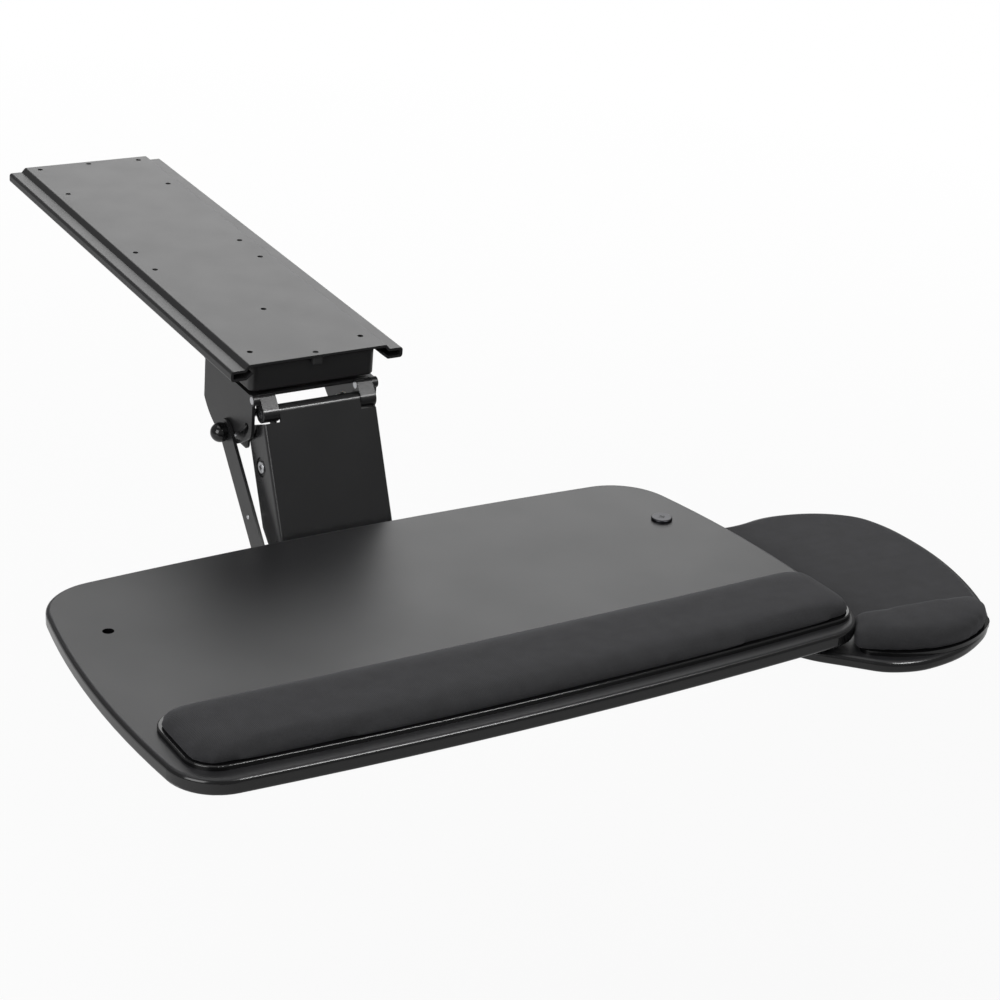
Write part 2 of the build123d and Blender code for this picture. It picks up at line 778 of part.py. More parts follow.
def board_screws():
    """Wood screws through the bracket's plate into the board."""
    seat = -board_height - plate_sheet
    head = along_z(Circle(board_screw_head_radius), seat - board_screw_head, seat)
    head = chamfer(edges_at(head, seat - board_screw_head), board_screw_head / 2)
    screw = head + along_z(Circle(board_screw_radius), seat, seat + board_screw_length)
    return group(tray_frame * Pos(x, y) * screw for x, y in board_screw_places())


def tilt_pin():
    """Bolt across the yoke on which the tray tilts."""
    outer = tray_ear_inner + tray_ear_sheet
    pin = rod(tilt_axis, tilt_pin_radius, -outer, outer + tilt_nut_height)
    return pin + rod(tilt_axis, tilt_head_radius, -outer - tilt_head, -outer)


def tilt_nut():
    """Nut that sets the friction of the tilt."""
    outer = tray_ear_inner + tray_ear_sheet
    section = Pos(*tilt_axis) * (RegularPolygon(tilt_nut_radius, 6) - Circle(tilt_pin_radius))
    return along_x(section, outer, outer + tilt_nut_height)


# Tray board
def board_outline():
    """Four shallow arcs with rounded corners."""
    rear = (rear_corner_shares[0] * board_half_width, rear_corner_shares[1] * board_back)
    front = (front_corner_shares[0] * board_half_width, -front_corner_shares[1] * board_front)
    middle = -side_middle_share * board_front
    outline = make_face([
        ThreePointArc((-rear[0], rear[1]), (0, board_back), rear),
        ThreePointArc(rear, (board_half_width, middle), front),
        ThreePointArc(front, (0, -board_front), (-front[0], front[1])),
        ThreePointArc((-front[0], front[1]), (-board_half_width, middle), (-rear[0], rear[1])),
    ])
    outline = fillet(outline.vertices().group_by(Axis.Y)[-1], board_rear_corner)
    return fillet(outline.vertices().group_by(Axis.Y)[0], board_front_corner)


def tray_board():
    """Board with softened edges and a mounting hole for the mouse platform on each side."""
    board = along_z(board_outline(), -board_height, 0)
    board = fillet(edges_at(board, 0), board_top_edge)
    board = fillet(edges_at(board, -board_height), board_bottom_edge)
    for side in (-1, 1):
        hole = along_z(Circle(mount_hole_radius), -board_height - cut_over, cut_over)
        board -= Pos(side * mount_hole_offset, mount_hole_back) * hole
    for x, y in board_screw_places():
        depth = -board_height - plate_sheet + board_screw_length
        board -= Pos(x, y) * along_z(Circle(board_screw_radius), -board_height - cut_over, depth)
    return tray_frame * board


# Keyboard palm rest
def rest_outline(inset):
    """Plan of the palm rest: straight back and ends, a bowed front."""
    back = -rest_back - inset
    end = rest_half_width - inset
    front = -rest_back - rest_depth + inset
    side = front + rest_front_bow
    outline = make_face([
        Line((-end, back), (end, back)),
        Line((end, back), (end, side)),
        ThreePointArc((end, side), (0, front), (-end, side)),
        Line((-end, side), (-end, back)),
    ])
    outline = fillet(outline.vertices().group_by(Axis.Y)[-1], rest_back_corner - inset)
    outline = fillet(outline.vertices().group_by(Axis.Y)[0], rest_front_corner - inset)
    return Pos(rest_shift, 0) * outline


def palm_base():
    """Moulded foot of the palm rest with a thin rim that shows in front."""
    foot = along_z(rest_outline(0), 0, rest_base_height)
    return tray_frame * fillet(edges_at(foot, rest_base_height), rest_base_edge)


def palm_pad():
    """Crowned cushion, steep at the back and rolled off in front, drawn in at its seat."""
    height = rest_height - rest_base_height
    points = [(-rest_back - y * rest_depth, rest_base_height + z * height) for y, z in crown_shares]
    foot = [(points[-1][0], rest_base_height), (points[0][0], rest_base_height)]
    crown = make_face([Spline(*points), Polyline(points[-1], *foot, points[0])])
    end = rest_half_width + rest_shift + cut_over
    pad = along_z(rest_outline(rest_rim), rest_base_height, rest_height + cut_over)
    pad &= along_x(crown, -end, end)
    pad = fillet(edges_at(pad, rest_base_height), rest_seat_draw)
    top = pad.faces().filter_by(lambda face: face.center().Z > rest_height / 2).sort_by(SortBy.AREA)[-1]
    return tray_frame * fillet(top.edges(), rest_end_edge)


# Mouse platform
def platform_outline(scale):
    """Rounded plan of the platform, with a lobe round its pivot: two arcs from each place to the next."""
    places = [
        Vector(platform_x + x * platform_size * scale, platform_y + y * platform_size * scale)
        for x, y in platform_shares
    ]
    ways = [(after - before).normalized() for before, after in zip(places[-1:] + places[:-1], places[1:] + places[:1])]
    arcs = []
    for i, (start, way) in enumerate(zip(places, ways)):
        end, end_way = places[(i + 1) % len(places)], ways[(i + 1) % len(places)]
        chord = end - start
        bend = 2 - 2 * way.dot(end_way)
        pull = chord.dot(way + end_way)
        reach = (sqrt(pull**2 + bend * chord.dot(chord)) - pull) / bend
        joint = (start + end + (way - end_way) * reach) * 0.5
        arcs += [
            TangentArc(start, joint, tangent=way),
            TangentArc(joint, end, tangent=(joint - start - way * reach).normalized()),
        ]
    return make_face(arcs)


def mouse_hub(radius):
    """A disc about the platform's pivot."""
    return Pos(mount_hole_offset, mount_hole_back) * Circle(radius)


def mouse_platform():
    """Thick board with well-rounded edges below the level of the tray."""
    body = along_z(platform_outline(1), -platform_drop - platform_height, -platform_drop)
    body = fillet(edges_at(body, -platform_drop), platform_top_edge)
    body = fillet(edges_at(body, -platform_drop - platform_height), platform_bottom_edge)
    bore = along_z(mouse_hub(mouse_bolt_radius + run_gap), -platform_drop - platform_height - cut_over, 0)
    return tray_frame * (body - bore)


def wrist_places():
    """Corners and middles of the mouse palm rest's plan."""
    return [(platform_x + x * platform_size, platform_y + y * platform_size) for x, y in wrist_shares]


def wrist_zone():
    """Everything in front of the mouse palm rest's back edge."""
    left, back, right = wrist_places()[:3]
    far_right = right[0] + 2 * platform_size
    far_left = left[0] - 2 * platform_size
    front = right[1] - 2 * platform_size
    rest = Polyline(right, (far_right, right[1]), (far_right, front), (far_left, front), (far_left, left[1]), left)
    return make_face([ThreePointArc(left, back, right), rest])


def wrist_outline(inset):
    """Crescent in front of the pad: a bowed front, a gently hollow back and two short ends."""
    places = wrist_places()
    middle = ((places[3][0] + places[6][0]) / 2, (places[1][1] + places[5][1]) / 2)
    half = ((places[3][0] - places[6][0]) / 2, (places[1][1] - places[5][1]) / 2)
    left, back, right, end, foot, front, toe = [
        tuple(middle[i] + (place[i] - middle[i]) * (1 - inset / half[i]) for i in (0, 1)) for place in places
    ]
    outline = make_face([
        ThreePointArc(left, back, right),
        ThreePointArc(right, end, foot),
        ThreePointArc(foot, front, toe),
        Line(toe, left),
    ])
    return fillet(outline.vertices(), wrist_corner - inset)


def mouse_pad():
    """Thin fabric-covered pad on the platform."""
    plan = platform_outline(pad_share) - wrist_zone() - mouse_hub(pad_hub_clear)
    plan = Sketch() + plan.faces().sort_by(SortBy.AREA)[-1]
    pad = along_z(plan, -platform_drop, -platform_drop + pad_height)
    return tray_frame * pad


def mouse_rest_base():
    """Moulded foot of the mouse palm rest."""
    return tray_frame * along_z(wrist_outline(0), -platform_drop, -platform_drop + wrist_base_height)


def mouse_rest_pad():
    """Crescent cushion with a rounded crown."""
    seat = -platform_drop + wrist_base_height
    top = -platform_drop + wrist_height
    plan = wrist_outline(wrist_rim)
    middle = plan.center()
    crown = Pos(middle.X, top - wrist_crown) * Circle(wrist_crown)
    pad = along_z(plan, seat, top) & along_y(crown, middle.Y - platform_size, middle.Y + platform_size)
    pad = fillet(pad.faces().sort_by(Axis.Z)[-1].edges(), wrist_top_edge)
    return tray_frame * fillet(edges_at(pad, seat), wrist_seat_draw)


def mouse_bolt():
    """Pivot bolt with a low head on the board."""
    foot = -platform_drop - platform_height - run_gap - mouse_washer_height - mouse_nut_height
    head = along_z(mouse_hub(mouse_bolt_head_radius), 0, mouse_bolt_head)
    head = fillet(edges_at(head, mouse_bolt_head), mouse_bolt_head / 2)
    return tray_frame * (head + along_z(mouse_hub(mouse_bolt_radius), foot, 0))


def mouse_spacer():
    """Sleeve between the board and the platform."""
    ring = mouse_hub(mouse_spacer_radius) - mouse_hub(mouse_bolt_radius)
    return tray_frame * along_z(ring, -platform_drop + run_gap, -board_height)


def mouse_nut():
    """Locking nut and its flange under the platform."""
    seat = -platform_drop - platform_height - run_gap
    flange = along_z(mouse_hub(mouse_washer_radius), seat - mouse_washer_height, seat)
    place = Pos(mount_hole_offset, mount_hole_back)
    nut = along_z(place * RegularPolygon(mouse_nut_radius, 6), seat - mouse_washer_height - mouse_nut_height, seat)
    bore = along_z(mouse_hub(mouse_bolt_radius), seat - platform_size, seat + cut_over)
    return tray_frame * (flange + nut - bore)


nodes = {
    "track": track(),
    "front_stop": stop(front_hole, -1),
    "rear_stop": stop(-front_hole, 1),
    "carriage_pan": carriage_pan(),
    "carriage_glides": carriage_glides(),
    "swivel_bearing": swivel_bearing(),
    "swivel_washer": swivel_washer(),
    "swivel_pivot": swivel_pivot(),
    "swivel_bracket": swivel_bracket(),
    "hinge_straps": hinge_straps(),
    "strap_pins": strap_pins(),
    "arm_hinge_pin": arm_hinge_pin(),
    "link_rod": link_rod(),
    "arm_channel": arm_channel(),
    "arm_spreader": arm_spreader(),
    "side_screws": side_screws(),
    "side_nuts": side_nuts(),
    "inner_link": inner_link(),
    "link_bushes": link_bushes(),
    "yoke": yoke(),
    "lower_hinge_pin": lower_hinge_pin(),
    "rear_pin": rear_pin(),
    "bar_spacer": bar_spacer(),
    "lock_bar": lock_bar(),
    "bar_rivet": bar_rivet(),
    "lock_stud": lock_stud(),
    "ball_knob": ball_knob(),
    "tray_bracket": tray_bracket(),
    "board_screws": board_screws(),
    "tilt_pin": tilt_pin(),
    "tilt_nut": tilt_nut(),
    "tray_board": tray_board(),
    "palm_base": palm_base(),
    "palm_pad": palm_pad(),
    "mouse_platform": mouse_platform(),
    "mouse_pad": mouse_pad(),
    "mouse_rest_base": mouse_rest_base(),
    "mouse_rest_pad": mouse_rest_pad(),
    "mouse_bolt": mouse_bolt(),
    "mouse_spacer": mouse_spacer(),
    "mouse_nut": mouse_nut(),
}

for name, shape in nodes.items():
    export_step(shape, f"parts/{name}.step")
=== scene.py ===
"""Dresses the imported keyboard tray: steel arm, laminate boards, knit palm rests, studio stage."""
import json

import bmesh
import bpy
import numpy as np
from mathutils import Matrix, Vector


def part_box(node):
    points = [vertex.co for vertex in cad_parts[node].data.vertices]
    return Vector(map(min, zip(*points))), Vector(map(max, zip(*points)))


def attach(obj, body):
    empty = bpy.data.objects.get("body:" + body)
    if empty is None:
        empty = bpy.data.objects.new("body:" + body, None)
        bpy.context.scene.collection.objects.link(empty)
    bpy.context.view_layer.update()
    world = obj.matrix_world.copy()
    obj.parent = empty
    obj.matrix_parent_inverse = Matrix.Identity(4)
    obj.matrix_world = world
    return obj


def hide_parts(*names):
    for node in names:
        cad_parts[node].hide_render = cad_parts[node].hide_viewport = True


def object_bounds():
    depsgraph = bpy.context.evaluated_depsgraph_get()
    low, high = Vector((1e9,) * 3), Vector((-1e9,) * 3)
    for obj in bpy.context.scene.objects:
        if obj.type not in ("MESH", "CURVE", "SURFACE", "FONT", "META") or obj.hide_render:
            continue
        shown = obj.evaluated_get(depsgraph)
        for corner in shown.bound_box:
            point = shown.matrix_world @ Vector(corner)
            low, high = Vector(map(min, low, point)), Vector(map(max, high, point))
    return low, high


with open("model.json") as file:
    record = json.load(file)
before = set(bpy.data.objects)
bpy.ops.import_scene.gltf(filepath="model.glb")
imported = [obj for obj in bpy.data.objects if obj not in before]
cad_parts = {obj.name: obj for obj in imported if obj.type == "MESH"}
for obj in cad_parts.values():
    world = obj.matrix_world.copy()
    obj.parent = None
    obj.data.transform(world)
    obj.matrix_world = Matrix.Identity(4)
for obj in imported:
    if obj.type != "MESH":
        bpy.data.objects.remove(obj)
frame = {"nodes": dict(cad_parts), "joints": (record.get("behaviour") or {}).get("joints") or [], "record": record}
CAD_BOX = [list(corner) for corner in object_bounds()]

bl_info = {
    "name": "Under-desk keyboard tray",
    "version": (1, 0, 0),
    "blender": (4, 5, 0),
    "location": "3D View > Sidebar > Tray",
    "description": "Finishes, cushions and stage of a keyboard tray on a sliding, lifting arm",
    "category": "Object",
}

MM = 0.001

# Lengths are in millimetres and angles in degrees up to the stage, which is in metres.
# Board frame: origin on the board's top, Y square to the tilt bolt, as in the model.
TILT_DEG = -3.26
HINGE_BACK = 97.5
HINGE_DROP = 27.6

# Mouse platform's plan as shares of its size about its middle
PLATFORM_MIDDLE = np.array((295.0, -85.0))
PLATFORM_SIZE = 120.0
PLATFORM_TOP = -18.0
PLATFORM_SHARES = np.array([
    (-0.10, 0.945), (0.29, 0.965), (0.64, 0.855), (0.845, 0.64), (0.895, 0.15), (0.79, -0.38),
    (0.58, -0.80), (0.26, -1.01), (-0.09, -1.075), (-0.33, -1.015), (-0.49, -0.875), (-0.71, -0.62),
    (-0.86, -0.2), (-0.88, 0.3), (-0.83, 0.8), (-0.72, 1.06), (-0.56, 1.11), (-0.38, 1.02),
])
MOUSE_HUB = np.array((220.9, 26.0))

# Palm rest: plan, corner, seat, and its height's shares at shares of its depth from the back
REST_SIDE, REST_BACK = 4.0, -98.4
REST_BOW = 10.0
REST_CORNER = 19.0
REST_SEAT = 1.4
REST_END_DROP, REST_END_POWER = 0.12, 14
REST_SHARES = np.array([
    (0.0, 0.52), (0.07, 0.74), (0.16, 0.93), (0.3, 1.0),
    (0.7, 1.0), (0.86, 0.96), (0.94, 0.88), (1.0, 0.74),
])

# Mouse rest: the crescent's length and depth when straight, and where its edges run
CRESCENT = (106.0, 38.0)
CRESCENT_CORNER, CRESCENT_ROUND = 5.0, 4.8
CRESCENT_HEIGHT = 17.0
CRESCENT_SEAT = PLATFORM_TOP + 1.2
CRESCENT_BACK = np.array([(257.5, -157.2), (306.0, -164.0), (357.6, -168.6)])
CRESCENT_FRONT = np.array([(238.5, -184.0), (299.0, -209.6), (351.2, -193.4)])
CRESCENT_RIGHT = np.array((359.4, -180.5))
CRESCENT_SWELL = 0.6

# Mouse mat: rays from its middle, inset share of the platform, round bay for the hub, side profile
MAT_MIDDLE = np.array((300.0, -62.0))
MAT_RAYS = 240
MAT_SHARE = 0.953
MAT_BAY = 32.5
MAT_THICK = 2.0
MAT_SIDE = [(0.0, 0.0), (0.5, 0.0), (0.985, 0.0), (1.0, 0.45), (0.996, 1.35), (0.984, 1.85)]
MAT_FACE = (0.965, 0.9, 0.8, 0.65, 0.5, 0.35, 0.2, 0.1, 0.0)

# Cloth: even mesh, stuffing pressure, frames of the simulation, height over which it comes in
CLOTH_MESH = 4.5
CLOTH_PRESSURE = 4.0
CLOTH_FRAMES = 20
CLOTH_START, CLOTH_RISE = 1.0, 5.0

# Stage, in metres: how far the floor lies below the object, and each softbox as its name, place,
# aim, width and height, level, and whether matt faces see it
FLOOR_DROP = 0.35
FLOOR_SIDE = 6.0
SOFTBOXES = (
    ("side_softbox", (-1.9, -1.1, 0.9), (0.0, -0.3, -0.1), (1.3, 1.3), "key", True),
    ("strip_softbox", (0.62, -1.55, 1.35), (-0.1, -0.48, -0.15), (0.8, 0.2), "strip", False),
    ("top_softbox", (-0.2, 0.1, 2.0), (0.05, -0.25, -0.1), (1.6, 1.6), "top", True),
    ("back_softbox", (1.12, 1.62, 0.98), (0.05, -0.2, -0.05), (1.7, 1.7), "back", True),
)
CAMERA_PLACE = (-0.743, -1.6328, 0.6767)
CAMERA_TURN, CAMERA_DOWN, CAMERA_ROLL = 32.93, 26.23, 5.25
CAMERA_FOCUS_PX, FRAME_PX = 2359.3, 1000
SENSOR_MM = 36.0


# Sizes and colours that a user may change
class TrayCushions(bpy.types.PropertyGroup):
    """Sizes of the soft pieces, in millimetres."""
    rest_length: bpy.props.FloatProperty(
        name="Palm rest length", description="End to end", default=497.2)
    rest_depth: bpy.props.FloatProperty(
        name="Palm rest depth", description="Front to back", default=80.7)
    rest_height: bpy.props.FloatProperty(
        name="Palm rest height", description="Above its seat", default=11.4)
    edge_round: bpy.props.FloatProperty(
        name="Edge rounding", description="Radius of the cushion's edge", default=6.5)
    swell: bpy.props.FloatProperty(
        name="Swell", description="Most that the stuffing pushes the cloth out", default=1.4)
    thread: bpy.props.FloatProperty(
        name="Knit spacing", description="From one wale to the next", default=1.1)


class TrayColours(bpy.types.PropertyGroup):
    """Surface colours as sRGB hex values."""
    coat: bpy.props.StringProperty(
        name="Powder coat", description="Satin black of the steel", default="1d1d1e")
    laminate: bpy.props.StringProperty(
        name="Laminate", description="Black of the two boards", default="1e1e20")
    # The board edge colour is painted shade on the boards' upright edges.
    edge: bpy.props.StringProperty(
        name="Board edge", description="Lacquered black of the boards' edges", default="0e0e0f")
    plastic: bpy.props.StringProperty(
        name="Moulded plastic", description="Gloss black of feet and knob", default="0c0c0d")
    cloth: bpy.props.StringProperty(
        name="Knit cloth", description="Black of the cushions", default="1f1f21")
    zinc: bpy.props.StringProperty(
        name="Zinc", description="Bright plated pins and screws", default="c4c5c8")
    oxide: bpy.props.StringProperty(
        name="Black oxide", description="Black of the oxidised bolt", default="39393c")


class TrayStage(bpy.types.PropertyGroup):
    """Light levels of the studio."""
    key: bpy.props.FloatProperty(
        name="Side light", description="Power of the left softbox", default=24.0, unit="POWER")
    top: bpy.props.FloatProperty(
        name="Top light", description="Power of the ceiling softbox", default=10.0, unit="POWER")
    strip: bpy.props.FloatProperty(
        name="Strip light", description="Power of the narrow light in front, seen in shines only",
        default=20.0, unit="POWER")
    back: bpy.props.FloatProperty(
        name="Back light", description="Power of the softbox behind", default=18.0, unit="POWER")
    sky: bpy.props.FloatProperty(
        name="Room light", description="Strength of the light from all round", default=0.3)


# Small helpers
def linear(code):
    """Linear colour of an sRGB hex value: the sRGB curve undone channel by channel."""
    channels = np.array([int(code[i:i + 2], 16) for i in (0, 2, 4)]) / 255.0
    low = channels / 12.92
    high = ((channels + 0.055) / 1.055) ** 2.4
    return (*np.where(channels <= 0.04045, low, high), 1.0)


def add_node(material, kind, inputs=None, **settings):
    """Adds one shader node with its settings; inputs are values or the sockets they come from."""
    node = material.node_tree.nodes.new(kind)
    for name, value in settings.items():
        setattr(node, name, value)
    for name, value in (inputs or {}).items():
        if isinstance(value, bpy.types.NodeSocket):
            material.node_tree.links.new(value, node.inputs[name])
        else:
            node.inputs[name].default_value = value
    return node


def new_material(name):
    """An empty node material with its output, and object coordinates."""
    material = bpy.data.materials.new(name)
    material.use_nodes = True
    material.node_tree.nodes.clear()
    place = add_node(material, "ShaderNodeTexCoord").outputs["Object"]
    return material, place


def close_material(material, **inputs):
    """Joins a surface shader with these inputs, spaces for underscores, to the output."""
    inputs = {name.replace("_", " "): value for name, value in inputs.items()}
    shader = add_node(material, "ShaderNodeBsdfPrincipled", inputs)
    add_node(material, "ShaderNodeOutputMaterial", {"Surface": shader.outputs["BSDF"]})
    return material


def noise(material, place, size, detail):
    """Noise with features of about size millimetres."""
    return add_node(material, "ShaderNodeTexNoise", {
        "Vector": place, "Scale": 1 / (size * MM), "Detail": detail,
    }).outputs["Fac"]


def spread(material, value, low, high, start=0.0, end=1.0):
    """Carries a value between start and end to low and high, held at both."""
    return add_node(material, "ShaderNodeMapRange", {
        "Value": value, "From Min": start, "From Max": end, "To Min": low, "To Max": high,
    }).outputs["Result"]


def math_of(material, operation, *values):
    """Result of one arithmetic node on values or sockets."""
    node = add_node(material, "ShaderNodeMath", dict(enumerate(values)), operation=operation)
    return node.outputs[0]


def blend_of(material, factor, start, end, kind="RGBA"):
    """From start to end by a factor, for colours or for plain values."""
    return add_node(material, "ShaderNodeMix", {
        "Factor": factor, "A": start, "B": end,
    }, data_type=kind).outputs["Result"]


def relief(material, height, strength, depth):
    """Normal of a fine relief, depth in millimetres."""
    return add_node(material, "ShaderNodeBump", {
        "Height": height, "Strength": strength, "Distance": depth * MM,
    }).outputs["Normal"]


def seen_straight(owner):
    """1 for what the camera sees straight or through clear pieces, 0 for reflections and light."""
    path = add_node(owner, "ShaderNodeLightPath").outputs
    return math_of(owner, "MAXIMUM", path["Is Camera Ray"], path["Is Transmission Ray"])


def board_to_row(points):
    """Points from the board's frame to the row's: a small tilt about the tilt bolt."""
    joint = next(each for each in frame["joints"] if each["name"] == "tray_tilt")
    bolt = np.array(joint["pos_m"])
    angle = np.radians(TILT_DEG)
    y = points[:, 1] * MM - HINGE_BACK * MM
    z = points[:, 2] * MM + HINGE_DROP * MM
    return np.stack([
        points[:, 0] * MM,
        bolt[1] + y * np.cos(angle) - z * np.sin(angle),
        bolt[2] + y * np.sin(angle) + z * np.cos(angle),
    ], 1)


def mesh_object(name, points, faces, material, smooth=True):
    """A mesh of points in metres and faces as index lists, doubles merged, normals outward."""
    mesh = bpy.data.meshes.new(name)
    mesh.from_pydata(points, [], faces)
    solid = bmesh.new()
    solid.from_mesh(mesh)
    bmesh.ops.remove_doubles(solid, verts=solid.verts, dist=0.00002)
    bmesh.ops.dissolve_degenerate(solid, edges=solid.edges, dist=0.00001)
    bmesh.ops.recalc_face_normals(solid, faces=solid.faces)
    solid.to_mesh(mesh)
    solid.free()
    mesh.polygons.foreach_set("use_smooth", [smooth] * len(mesh.polygons))
    mesh.materials.append(material)
    piece = bpy.data.objects.new(name, mesh)
    bpy.context.scene.collection.objects.link(piece)
    return piece


def ring_faces(rings, around):
    """Quads between neighbouring closed rings of the same count."""
    ring, step = np.meshgrid(np.arange(rings - 1), np.arange(around), indexing="ij")
    here = ring * around + step
    side = ring * around + (step + 1) % around
    return np.stack([here, side, side + around, here + around], -1).reshape(-1, 4).tolist()


# Materials
def powder_coated_steel(colours, name="powder_coated_steel", low=0.34, high=0.42):
    """Sheet steel, stoved satin black powder: a faint orange peel breaks up broad reflections."""
    material, place = new_material(name)
    return close_material(
        material, Base_Color=linear(colours.coat), IOR=1.5,
        Roughness=spread(material, noise(material, place, 35, 2.0), low, high),
        Normal=relief(material, noise(material, place, 1.6, 2.0), 0.10, 0.06),
    )


def smooth_coated_steel(colours):
    """The same coat laid thinner and flowed out glossier, on the rolled pieces of the arm."""
    return powder_coated_steel(colours, "smooth_coated_steel", 0.22, 0.28)


def cross_recess(material, place, node, axes):
    """1 inside the cross-shaped driver recess about the middle of a node's box, 0 outside.

    The recess is where one distance from the middle is under half the slot's width
    and the other is under half its length.
    """
    low, high = (np.array(corner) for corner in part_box(node))
    from_middle = add_node(material, "ShaderNodeVectorMath", {
        0: place, 1: tuple((low + high) / 2),
    }, operation="SUBTRACT")
    parts = add_node(material, "ShaderNodeSeparateXYZ", {"Vector": from_middle.outputs["Vector"]})
    sides = [math_of(material, "ABSOLUTE", parts.outputs[axis]) for axis in axes]
    near, far = math_of(material, "MINIMUM", *sides), math_of(material, "MAXIMUM", *sides)
    slim = spread(material, near, 1.0, 0.0, 0.45 * MM, 0.7 * MM)
    short = spread(material, far, 1.0, 0.0, 2.1 * MM, 2.4 * MM)
    return math_of(material, "MULTIPLY", slim, short)


def driven_screw(node, finish, axes):
    """Plated screw with a cross recess, its depth painted near black as painted shade."""
    material, place = new_material("plated_" + node)
    recess = cross_recess(material, place, node, axes)
    return close_material(
        material, Metallic=1.0,
        # Painted shade: inside the recess the plating is drawn near black, as shade in the hollow; the same mask
        # also sinks the recess by bump.
        Base_Color=blend_of(material, recess, linear(finish), linear("141415")),
        Roughness=spread(material, noise(material, place, 0.9, 3.0), 0.24, 0.4),
        Normal=relief(material, math_of(material, "MULTIPLY", recess, -1.0), 0.8, 1.0),
    )


def zinc_plated_steel(colours):
    """Turned or headed steel, bright zinc plated: fine turning marks and a cool shine."""
    material, place = new_material("zinc_plated_steel")
    marks = noise(material, place, 0.9, 3.0)
    return close_material(
        material, Base_Color=linear(colours.zinc), Metallic=1.0,
        Roughness=spread(material, marks, 0.2, 0.34), Normal=relief(material, marks, 0.08, 0.03),
    )


def black_laminate(colours):
    """Fibreboard under black laminate: pebbled faces, and glossier edges, drawn darker as painted shade."""
    material, place = new_material("black_laminate")
    facing = add_node(material, "ShaderNodeSeparateXYZ", {"Vector": place.node.outputs["Normal"]})
    face = spread(material, math_of(material, "ABSOLUTE", facing.outputs["Z"]), 0.0, 1.0, 0.6, 0.95)
    pebble = add_node(material, "ShaderNodeTexVoronoi", {"Vector": place, "Scale": 1 / (1.3 * MM)})
    rough = spread(material, noise(material, place, 60, 3.0), 0.38, 0.46)
    return close_material(
        material, IOR=1.5,
        # Painted shade: faces far from level take the darker edge colour; their lower roughness is their own
        # finish.
        Base_Color=blend_of(material, face, linear(colours.edge), linear(colours.laminate)),
        Roughness=blend_of(material, face, 0.16, rough, "FLOAT"),
        Normal=relief(material, pebble.outputs["Distance"], 0.12, 0.05),
    )


def gloss_moulded_plastic(colours):
    """Injection-moulded ABS with a polished face: sharp lights, slight flow ripple."""
    material, place = new_material("gloss_moulded_plastic")
    return close_material(
        material, Base_Color=linear(colours.plastic), Roughness=0.14, IOR=1.52,
        Normal=relief(material, noise(material, place, 18, 1.0), 0.05, 0.2),
    )


def moulded_nylon(colours):
    """Unfilled nylon, moulded: milky off-white with a dull skin."""
    material, place = new_material("moulded_nylon")
    return close_material(
        material, Base_Color=linear("d8d6cf"), IOR=1.53,
        Roughness=spread(material, noise(material, place, 2.5, 2.0), 0.4, 0.52),
        Subsurface_Weight=0.15, Subsurface_Scale=1.5 * MM,
    )


def black_rubber(colours):
    """Moulded nitrile rubber: matt black with a faint bloom."""
    material, place = new_material("black_rubber")
    bloom = noise(material, place, 3, 3.0)
    return close_material(
        material, Base_Color=blend_of(material, bloom, linear("141415"), linear("222224")),
        Roughness=0.7, IOR=1.52,
    )


def knit_cloth(colours, cushions):
    """Black warp-knit polyester over foam: loops along and across, dull sheen, tiny fuzz."""
    material, place = new_material("knit_cloth")
    beat = 2 * np.pi / (cushions.thread * MM)
    axes = add_node(material, "ShaderNodeSeparateXYZ", {"Vector": place})
    waves = [
        math_of(material, "SINE", math_of(material, "MULTIPLY", axes.outputs[axis], beat / stretch))
        for axis, stretch in (("X", 1.0), ("Y", 1.15), ("Z", 1.15))
    ]
    loops = math_of(material, "MULTIPLY", math_of(material, "ADD", waves[1], waves[2]), waves[0])
    fuzz = noise(material, place, 0.7, 4.0)
    wear = noise(material, place, 14, 4.0)
    speck = spread(material, math_of(material, "MULTIPLY", fuzz, wear), 0.0, 1.0, 0.15, 0.4)
    dark = linear(colours.cloth)
    light = tuple(min(1.0, channel * 1.7) for channel in dark[:3]) + (1.0,)
    return close_material(
        material, Base_Color=blend_of(material, speck, dark, light), Roughness=0.88, IOR=1.45,
        Sheen_Weight=0.38, Sheen_Roughness=0.5, Sheen_Tint=linear("8c8c90"),
        Normal=relief(material, math_of(material, "ADD", loops, fuzz), 0.35, 0.12),
    )


MATERIAL_OF_SLOT = {
    "satin_black_steel": powder_coated_steel,
    "bright_steel": zinc_plated_steel,
    "grey_rubber": black_rubber,
    "white_nylon": moulded_nylon,
    "gloss_black_plastic": gloss_moulded_plastic,
    "board_black": black_laminate,
}

# Screws with a cross recess: the colour of each and the two axes square to it
DRIVEN = {"side_screws": ("zinc", "YZ"), "mouse_bolt": ("oxide", "XY")}

# Pieces with the glossier coat
SMOOTH = {"arm_channel", "hinge_straps"}


def shared_material(name, make, *groups):
    """The material of that name, made the first time that it is wanted."""
    return bpy.data.materials.get(name) or make(*groups)


def cloth_of(context):
    """The cushions' knit."""
    scene = context.scene
    return shared_material("knit_cloth", knit_cloth, scene.tray_colours, scene.tray_cushions)


# Shapes of the soft pieces
def rounded_rectangle(length, depth, corner, inset):
    """Ring of points: four quarter arcs joined by straight runs, all moved in by inset."""
    a = length / 2 - inset
    b = max(depth / 2 - inset, 0.0)
    r = min(max(corner - inset, 0.4), a, b)
    arc = np.linspace(0, np.pi / 2, 9)
    pieces = []
    for turn, (x, y) in enumerate([(1, 1), (-1, 1), (-1, -1), (1, -1)]):
        bend = arc + turn * np.pi / 2
        middle = np.array((x * (a - r), y * (b - r)))
        pieces.append(middle + r * np.stack([np.cos(bend), np.sin(bend)], 1))
    ring = []
    for i, run in enumerate((90, 10, 90, 10)):
        start, end = pieces[i][-1], pieces[(i + 1) % 4][0]
        share = np.linspace(0, 1, run + 2)[1:-1, None]
        ring += [pieces[i], start + (end - start) * share]
    return np.concatenate(ring)


